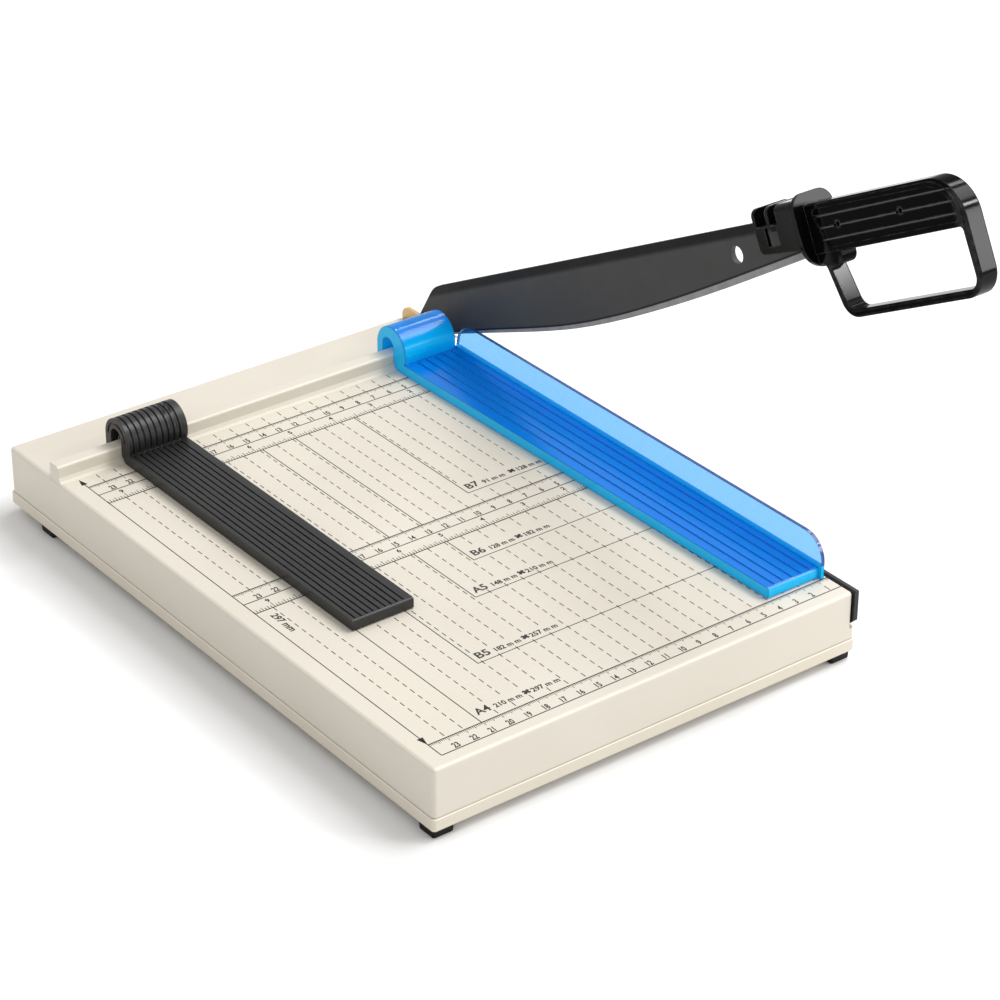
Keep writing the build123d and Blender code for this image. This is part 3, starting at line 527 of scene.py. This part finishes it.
def row_line(bm, v, u, u_end, width=RULE):
    """A line from left to right at v."""
    ink_bar(bm, u, v - width / 2, u_end, v + width / 2)


def column_line(bm, u, v, v_end, width=RULE):
    """A line from rear to front at u."""
    ink_bar(bm, u - width / 2, v, u + width / 2, v_end)


def lettering(bm, words, u, v, height, width=0.0, stretch=1.0, turn=0.0, weight=0.028):
    """Words on a baseline at v: centred at u, or from u over a width."""
    curve = bpy.data.curves.new("words", "FONT")
    curve.body = words
    curve.align_x = "LEFT" if width else "CENTER"
    curve.resolution_u = 3
    curve.offset = weight
    holder = bpy.data.objects.new("words", curve)
    bpy.context.scene.collection.objects.link(holder)
    bpy.context.view_layer.update()
    mesh = bpy.data.meshes.new_from_object(holder)
    bpy.data.objects.remove(holder)
    size = height / max(vertex.co.y for vertex in mesh.vertices)
    across = width / max(vertex.co.x for vertex in mesh.vertices) if width else size * stretch
    mesh.transform(
        Matrix.Translation(at(-u, -v, INK_HEIGHT)) @ Matrix.Rotation(turn, 4, "Z")
        @ Matrix.Diagonal((across * MM, size * MM, 1, 1))
    )
    bm.from_mesh(mesh)
    bpy.data.meshes.remove(mesh)


def centimetre_row(bm, top, bottom):
    """Millimetre ticks hanging from a row's rear line and centimetre numbers on its front line."""
    for step in range(3, int(LEFT_END)):
        length = 3.0 if step % 10 == 0 else 2.4 if step % 5 == 0 else 1.5
        column_line(bm, step, top, top + length, 0.3)
    for number in range(1, LAST_CENTIMETRE + 1):
        lettering(bm, str(number), number * 10, bottom - 1.0, 3.9, stretch=0.66)


def inch_row(bm, top, bottom):
    """Sixteenth-inch ticks standing on a row's front line, and inch numbers under its rear line."""
    lengths = ((16, 4.4), (8, 3.8), (4, 3.2), (2, 2.7), (1, 2.1))
    for step in range(2, int(LEFT_END / INCH * 16) + 1):
        length = next(length for part, length in lengths if step % part == 0)
        column_line(bm, step * INCH / 16, bottom - length, bottom, 0.36)
    for number in range(1, 10):
        lettering(bm, str(number), number * INCH, top + 4.7, 3.1)


def rulers(bm):
    """The rear and middle rulers in centimetres and inches, and the front one in centimetres."""
    for lines in (REAR_RULER, MIDDLE_RULER):
        for v in lines:
            row_line(bm, v, RIGHT_END, LEFT_END)
        centimetre_row(bm, lines[0], lines[1])
        inch_row(bm, lines[1], lines[2])
    for v in FRONT_RULER:
        row_line(bm, v, RIGHT_END, LEFT_END)
    centimetre_row(bm, *FRONT_RULER)


def has_front_edge(long):
    """True for a sheet that ends short of the front ruler, so its front edge is drawn."""
    return long < FRONT_RULER[0] - 5.0


def label_baseline(long):
    """Names stand on their sheet's front edge, or clear of the front ruler."""
    return long - 2.4 if has_front_edge(long) else long - 5.2


def under_label(u, v):
    """True where a dash would run through a sheet's name."""
    return any(
        wide - 50 < u < wide and label_baseline(long) - 7.5 < v < label_baseline(long)
        for _, wide, long in SHEETS
    )


def dashes(bm):
    """A dashed line at every centimetre, left out in the rulers, names and widest sheet's edge."""
    gaps = ((0.5, REAR_RULER[0]), (REAR_RULER[2], MIDDLE_RULER[0]), (MIDDLE_RULER[2], FRONT_RULER[0]))
    for number in range(1, LAST_CENTIMETRE + 1):
        for start, stop in gaps:
            if number * 10 == SHEETS[-1][1] and start > REAR_RULER[0]:
                continue
            for step in range(1 + int((stop - start) / DASH_PITCH)):
                v = start + step * DASH_PITCH
                if under_label(number * 10, v):
                    continue
                column_line(bm, number * 10, v, min(v + DASH, stop), 0.46)


def outlines(bm):
    """Each sheet size: its left edge, its front edge and its name in the corner."""
    for name, wide, long in SHEETS:
        spans = [(REAR_RULER[2], min(long, MIDDLE_RULER[0]))]
        if long > MIDDLE_RULER[2]:
            spans.append((MIDDLE_RULER[2], long))
        for v, v_end in spans:
            column_line(bm, wide + 0.4, v, v_end + 0.4, THIN_RULE)
        if has_front_edge(long):
            row_line(bm, long + 0.6, RIGHT_END, wide + 0.6, THIN_RULE)
        baseline = label_baseline(long)
        lettering(bm, name, wide - 2.0, baseline, 5.0, 7.8, weight=0.02)
        lettering(bm, f"{wide} m m", wide - 12.0, baseline, 3.3, 15.2 if wide > 99 else 13.6)
        lettering(bm, "×", wide - 28.8, baseline - 0.2, 3.7, 4.0, weight=0.08)
        lettering(bm, f"{long} m m", wide - 33.2, baseline, 3.3, 15.6)


def length_arrow(bm):
    """The 297 mm arrow along the left side."""
    front = FRONT_RULER[0]
    column_line(bm, LEFT_END, 0.3, FRONT_RULER[1], THIN_RULE)
    ink_face(bm, ((LEFT_END, 0.0), (LEFT_END + 1.7, 6.0), (LEFT_END - 1.7, 6.0)))
    ink_face(bm, ((LEFT_END, front - 0.3), (LEFT_END - 1.7, front - 6.3), (LEFT_END + 1.7, front - 6.3)))
    lettering(bm, "297 mm", 235.2, 174.5, 3.9, turn=-math.pi / 2)


def deck_print():
    """All the print as one thin piece on the deck."""
    bm = bmesh.new()
    rulers(bm)
    dashes(bm)
    outlines(bm)
    length_arrow(bm)
    mesh = bpy.data.meshes.new("deck_print")
    bm.to_mesh(mesh)
    bm.free()
    mesh.materials.append(ink_material())
    for polygon in mesh.polygons:
        polygon.material_index = 0
    piece = bpy.data.objects.new("deck_print", mesh)
    bpy.context.scene.collection.objects.link(piece)
    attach(piece, "base")


deck_print()


# ---------------------------------------------------------------- floor, light and camera


STUDIO_MIDDLE = at(-110, -130, 20)
FLOOR_HALF = 12.0


def studio_floor():
    """A plain floor under the feet."""
    mesh = bpy.data.meshes.new("studio_floor")
    corners = [(x * FLOOR_HALF, y * FLOOR_HALF, 0) for x, y in ((-1, -1), (1, -1), (1, 1), (-1, 1))]
    mesh.from_pydata(corners, [], [(0, 1, 2, 3)])
    mesh.materials.append(floor_material())
    piece = bpy.data.objects.new("studio_floor", mesh)
    bpy.context.scene.collection.objects.link(piece)


def softbox(name, direction, distance, size, power):
    """An area light that looks at the object's middle from a direction."""
    light = bpy.data.lights.new(name, "AREA")
    light.shape = "RECTANGLE"
    light.size, light.size_y = size
    light.energy = power
    lamp = bpy.data.objects.new(name, light)
    lamp.location = STUDIO_MIDDLE + Vector(direction).normalized() * distance
    lamp.rotation_euler = (STUDIO_MIDDLE - lamp.location).to_track_quat("-Z", "Y").to_euler()
    bpy.context.scene.collection.objects.link(lamp)


def world_light(strength):
    """Even white light from all round."""
    world = bpy.data.worlds.new("studio_world")
    world.use_nodes = True
    background = world.node_tree.nodes["Background"]
    background.inputs["Color"].default_value = (1, 1, 1, 1)
    background.inputs["Strength"].default_value = strength
    bpy.context.scene.world = world


AZIMUTH = math.radians(-37.409)
ELEVATION = math.radians(29.747)
ROLL = math.radians(0.163)
LENS = 116.69
SENSOR = 36.0
CAMERA_TARGET = at(-83.02, -143.77)
CAMERA_DISTANCE = 1614.57 * MM


def main_camera():
    """The three-quarter view from the front left."""
    back = Vector((
        math.sin(AZIMUTH) * math.cos(ELEVATION),
        -math.cos(AZIMUTH) * math.cos(ELEVATION),
        math.sin(ELEVATION),
    ))
    level = Vector((0, 0, 1)).cross(back).normalized()
    upright = back.cross(level)
    right = math.cos(ROLL) * level + math.sin(ROLL) * upright
    up = math.cos(ROLL) * upright - math.sin(ROLL) * level
    turn = Matrix((right, up, back)).transposed().to_4x4()
    lens = bpy.data.cameras.new("main_camera")
    lens.lens = LENS
    lens.sensor_width = SENSOR
    lens.clip_start = 0.05
    camera = bpy.data.objects.new("main_camera", lens)
    bpy.context.scene.collection.objects.link(camera)
    camera.matrix_world = Matrix.Translation(CAMERA_TARGET + back * CAMERA_DISTANCE) @ turn
    bpy.context.scene.camera = camera


studio_floor()
world_light(0.66)
softbox("key_top", (0.50, -0.16, 0.85), 2.6, (1.4, 1.4), 42)
softbox("strip_right", (0.622, -0.717, 0.316), 2.5, (0.30, 0.9), 12)
softbox("glint_right", (0.627, -0.516, 0.586), 2.5, (0.16, 0.16), 4.5)
softbox("strip_back", (0.62, 0.35, 0.72), 2.4, (0.9, 0.2), 9)
main_camera()
bpy.context.scene.view_settings.view_transform = "Standard"
